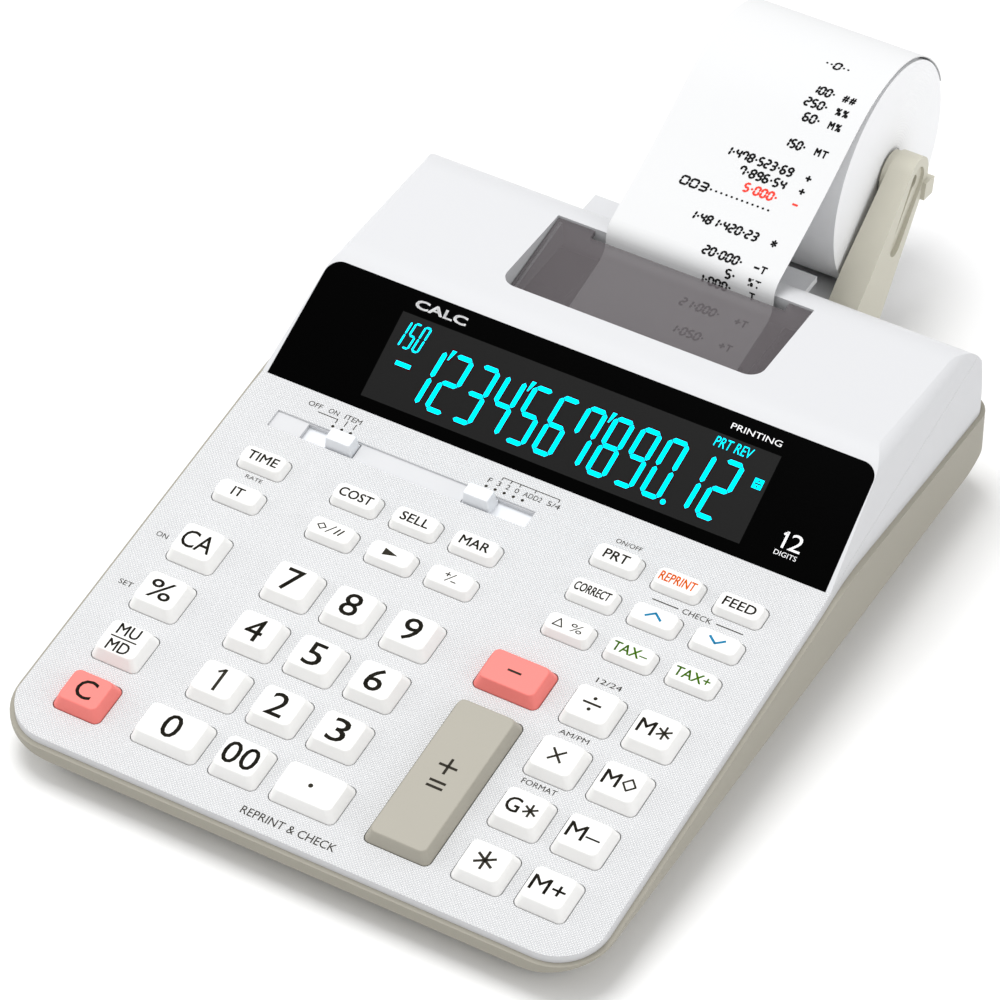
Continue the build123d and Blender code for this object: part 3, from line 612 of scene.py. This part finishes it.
# Each printed row: distance along the tape, figures, width, right end, symbol. All in millimetres.
tape_rows = (
    (75.2, "..0..", 8.6, 20.0, ""),
    (64.5, "100.", 7.6, 20.5, "##"),
    (59.6, "250.", 7.8, 20.4, "%%"),
    (54.6, "60.", 5.8, 20.3, "M%"),
    (45.2, "150.", 7.2, 20.0, "MT"),
    (36.3, "1.478.523.69", 23.0, 20.1, "+"),
    (31.7, "7.896.54", 15.8, 19.9, "+"),
    (27.0, "5.000.", 11.5, 19.3, "-"),
    (22.4, "003............", 30.8, 19.3, ""),
    (12.9, "1.481.420.23", 23.2, 19.9, "*"),
    (3.6, "20.000.", 13.4, 19.3, "-T"),
    (-1.2, "5.", 3.6, 18.9, "%T"),
    (-5.6, "1.000.", 11.4, 18.2, "T"),
    (-14.7, "21.000.", 13.4, 18.0, "+T"),
    (-24.6, "1.050.", 11.4, 18.0, "+T"),
)


def print_figures(marks, figures, width, right, along, ink):
    """One printed number: heavy slanted figures, with a raised dot taking half a figure's room."""
    room = sum(0.55 if figure == "." else 1.0 for figure in figures)
    pitch = width / room
    for figure in reversed(figures):
        if figure == ".":
            marks.dot(right - pitch * 0.27, along, 0.38, ink)
            right -= pitch * 0.55
        else:
            seven_segments(marks, figure, right, along - 1.6, pitch * 0.86, 3.2, 0.5, 0.35, 0.11, ink)
            right -= pitch


def print_tape():
    marks = Marks()
    for along, figures, width, right, symbol in tape_rows:
        ink = 1 if figures == "5.000." else 0
        print_figures(marks, figures, width, right, along, ink)
        for i, letter in enumerate(symbol):
            x = 25.2 + 2.3 * (i - (len(symbol) - 1) / 2)
            if letter == "-":
                marks.stroke([(x - 0.9, along), (x + 0.9, along)], 0.7, ink)
            elif letter == "+":
                marks.stroke([(x - 0.95, along), (x + 0.95, along)], 0.65)
                marks.stroke([(x, along - 1.0), (x, along + 1.0)], 0.65)
            else:
                marks.text(letter, x, along, 1.9, 2.6, bold=0.13)
    marks.place("tape_print", "case", None, [tape_black, tape_red], bend=tape_printer())


print_tape()


# ---------------------------------------------------------------- dots on the cover
def finish_mesh(name, mesh, mat, body):
    bmesh.ops.recalc_face_normals(mesh, faces=mesh.faces)
    data = bpy.data.meshes.new(name)
    mesh.to_mesh(data)
    mesh.free()
    data.materials.append(mat)
    item = bpy.data.objects.new(name, data)
    bpy.context.scene.collection.objects.link(item)
    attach(item, body)


def cover_dots():
    """Two rows of three small dark dots near the cover's front edge."""
    cover = nodes["printer_cover"]
    surface = BVHTree.FromObject(cover, bpy.context.evaluated_depsgraph_get())
    mesh = bmesh.new()
    for i in range(6):
        x = (1.0 + 2.45 * (i % 3)) * MM
        distance = 199.0 - 2.9 * (i // 3)
        start = Vector((x, (front + distance) * MM, 0.1))
        place, normal = surface.ray_cast(start, Vector((0, 0, -1)), 0.1)[:2]
        if place is None:
            continue
        turn = normal.to_track_quat("Z", "Y").to_matrix().to_4x4()
        seat = Matrix.Translation(place) @ turn @ Matrix.Diagonal((1, 1, 0.4, 1))
        bmesh.ops.create_uvsphere(mesh, u_segments=16, v_segments=8, radius=0.5 * MM, matrix=seat)
    finish_mesh("cover_dots", mesh, cover_mark, "printer_cover")


cover_dots()


# ---------------------------------------------------------------- fittings that the CAD leaves out
def lathe(mesh, outline, seat, sides=28):
    """Turns an outline of radius and height pairs, in millimetres, round the seat's Z."""
    rings = []
    for radius, height in outline:
        turns = [2 * math.pi * i / sides for i in range(sides)]
        ring = [(radius * math.cos(a) * MM, radius * math.sin(a) * MM, height * MM) for a in turns]
        rings.append([mesh.verts.new(seat @ Vector(corner)) for corner in ring])
    for lower, upper in zip(rings, rings[1:]):
        for i in range(sides):
            mesh.faces.new((lower[i], lower[i - 1], upper[i - 1], upper[i]))
    mesh.faces.new(rings[0])
    mesh.faces.new(reversed(rings[-1]))


def base_screws():
    """Four domed screw heads under the base, each with a dark cross in it."""
    side_inset = 42 * MM
    front_inset = 30 * MM
    back_inset = 34 * MM
    cross_depth = 1.2 * MM       # middle of the cross under the base
    seats = [
        (x, y)
        for x in (base_low.x + side_inset, base_high.x - side_inset)
        for y in (base_low.y + front_inset, base_high.y - back_inset)
    ]
    mesh = bmesh.new()
    head = ((0.5, -1.25), (1.6, -1.15), (2.4, -0.85), (2.8, -0.35), (2.8, 0.15))
    for x, y in seats:
        lathe(mesh, head, Matrix.Translation((x, y, base_low.z)))
    finish_mesh("base_screws", mesh, steel, "case")
    slots = bmesh.new()
    bar = Matrix.Diagonal((2.6 * MM, 0.5 * MM, 0.3 * MM, 1))
    for x, y in seats:
        for turn in (0, math.pi / 2):
            seat = Matrix.Translation((x, y, base_low.z - cross_depth)) @ Matrix.Rotation(turn, 4, "Z")
            bmesh.ops.create_cube(slots, size=1, matrix=seat @ bar)
    finish_mesh("screw_slots", slots, frame_black, "case")


def rating_label():
    """A blank label with ruled lines under the base, in front of the battery cover."""
    marks = Marks()
    width = 58
    length = 24
    corner = 2.5
    outline = []
    for i, (sx, sy) in enumerate(((1, 1), (-1, 1), (-1, -1), (1, -1))):
        for step in range(6):
            turn = math.pi / 2 * (i + step / 5)
            x = sx * (width / 2 - corner) + corner * math.cos(turn)
            y = sy * (length / 2 - corner) + corner * math.sin(turn)
            outline.append((x, y))
    marks.polygon(outline)
    under = Matrix.Translation((0, base_low.y + 62 * MM, base_low.z)) @ Matrix.Rotation(math.pi, 4, "X")
    marks.place("rating_label", "case", under, [label_grey], lift=2 * INK_LIFT)
    rules = Marks()
    for i in range(4):
        rules.stroke([(-24, 6 - 4 * i), (24, 6 - 4 * i)], 0.3)
    rules.place("label_rules", "case", under, [ink_dark], lift=3 * INK_LIFT)


base_screws()
rating_label()


# ---------------------------------------------------------------- finishes of the CAD nodes
def panel_pattern():
    """Case white, with fine raised diamonds where the surface lies in the key panel's plane, and painted
    shade greying the grooves between them.
    """
    mat = material("case_panel", case_colour, roughness=0.42, specular=0.15)
    tree = mat.node_tree
    link = tree.links.new
    shader = tree.nodes["Principled BSDF"]
    place = tree.nodes.new("ShaderNodeTexCoord")
    mapping = tree.nodes.new("ShaderNodeMapping")
    mapping.vector_type = "TEXTURE"
    mapping.inputs["Location"].default_value = panel_foot
    mapping.inputs["Rotation"].default_value = (rise, 0, 0)
    split = tree.nodes.new("ShaderNodeSeparateXYZ")
    link(place.outputs["Object"], mapping.inputs["Vector"])
    link(mapping.outputs["Vector"], split.inputs["Vector"])

    def math_node(operation, first, second=None):
        node = tree.nodes.new("ShaderNodeMath")
        node.operation = operation
        for socket, value in zip(node.inputs, (first, second)):
            if value is None:
                continue
            if isinstance(value, (int, float)):
                socket.default_value = value
            else:
                link(value, socket)
        return node.outputs[0]

    x = split.outputs["X"]
    v = split.outputs["Y"]
    cell = math.pi / (1.05 * MM)
    left = math_node("SINE", math_node("MULTIPLY", math_node("ADD", x, v), cell))
    right = math_node("SINE", math_node("MULTIPLY", math_node("SUBTRACT", x, v), cell))
    diamonds = math_node("ABSOLUTE", math_node("MULTIPLY", left, right))
    in_plane = math_node("LESS_THAN", math_node("ABSOLUTE", split.outputs["Z"]), 0.1 * MM)
    height = math_node("MULTIPLY", diamonds, in_plane)
    bump = tree.nodes.new("ShaderNodeBump")
    bump.inputs["Distance"].default_value = 0.3 * MM
    link(height, bump.inputs["Height"])
    link(bump.outputs["Normal"], shader.inputs["Normal"])
    # painted shade: between the raised diamonds the panel's white is mixed towards a darker grey, where
    # the low grooves would lie in shade
    groove_shade = tree.nodes.new("ShaderNodeMix")
    groove_shade.data_type = "RGBA"
    groove_shade.inputs["A"].default_value = (*panel_colour, 1)
    groove_shade.inputs["B"].default_value = (0.66, 0.67, 0.69, 1)
    link(math_node("POWER", math_node("SUBTRACT", 1.0, diamonds), 2.0), groove_shade.inputs["Factor"])
    zone = tree.nodes.new("ShaderNodeMix")
    zone.data_type = "RGBA"
    zone.inputs["A"].default_value = (*case_colour, 1)
    link(in_plane, zone.inputs["Factor"])
    link(groove_shade.outputs["Result"], zone.inputs["B"])
    link(zone.outputs["Result"], shader.inputs["Base Color"])
    return mat


finishes = {
    "top_case": panel_pattern(),
    "bottom_case": base_greige,
    "battery_cover": base_greige,
    "power_switch": knob_white,
    "point_switch": knob_white,
    "display_window": bezel_black,
    "display_module": module_grey,
    "circuit_board": board_green,
    "key_dome_sheet": mat_grey,
    "printer_cover": cover_smoke,
    "printer_frame": frame_black,
    "feed_roller": roller_rubber,
    "print_wheel": roller_rubber,
    "paper_roll": roll_side,
    "paper_strip": paper_white,
    "roll_holder": arm_greige,
    "rubber_feet": foot_rubber,
    "key_clear": key_red,
    "key_minus": key_red,
    "key_plus_equals": key_greige,
}
for name, item in nodes.items():
    item.data.materials.clear()
    item.data.materials.append(finishes.get(name, key_white))
    for face in item.data.polygons:
        face.material_index = 0


# ---------------------------------------------------------------- stage, lights and camera
def plane_object(name, size, height, mat):
    bpy.ops.mesh.primitive_plane_add(size=size, location=(0, 0, height))
    item = bpy.context.object
    item.name = name
    item.data.materials.append(mat)
    return item


def area_light(name, location, size, power):
    lamp = bpy.data.lights.new(name, "AREA")
    lamp.size = size
    lamp.energy = power
    item = bpy.data.objects.new(name, lamp)
    item.location = location
    item.rotation_euler = (-Vector(location)).to_track_quat("-Z", "Y").to_euler()
    bpy.context.scene.collection.objects.link(item)
    return item


plane_object("floor", 12, -0.0002, material("floor", (0.9, 0.9, 0.9), roughness=0.9, specular=0.0))
area_light("top_light", (-0.4, 0.1, 1.9), 1.0, 23)
area_light("side_light", (-1.3, -0.5, 0.9), 1.0, 4)
area_light("right_light", (1.3, -0.2, 0.5), 1.0, 3.5)

world = bpy.data.worlds.new("world")
world.use_nodes = True
world.node_tree.nodes["Background"].inputs["Color"].default_value = (1, 1, 1, 1)
world.node_tree.nodes["Background"].inputs["Strength"].default_value = 0.70
bpy.context.scene.world = world
bpy.context.scene.view_settings.view_transform = "Standard"     # plain colours, as on a product picture


def make_camera():
    """A long lens from the front right: azimuth and elevation in degrees, the rest in metres."""
    azimuth = math.radians(30.17)
    elevation = math.radians(43.16)
    distance = 1.509
    target = Vector((-0.0154, -0.0209, 0.0190))
    out = Vector((
        math.sin(azimuth) * math.cos(elevation),
        -math.cos(azimuth) * math.cos(elevation),
        math.sin(elevation),
    ))
    lens = bpy.data.cameras.new("camera")
    lens.lens = 183.8
    lens.sensor_width = 36
    lens.clip_start = 0.05
    item = bpy.data.objects.new("camera", lens)
    look = (-out).to_track_quat("-Z", "Y").to_matrix().to_4x4()
    item.matrix_world = Matrix.Translation(target + out * distance) @ look
    bpy.context.scene.collection.objects.link(item)
    bpy.context.scene.camera = item


make_camera()

note_size()
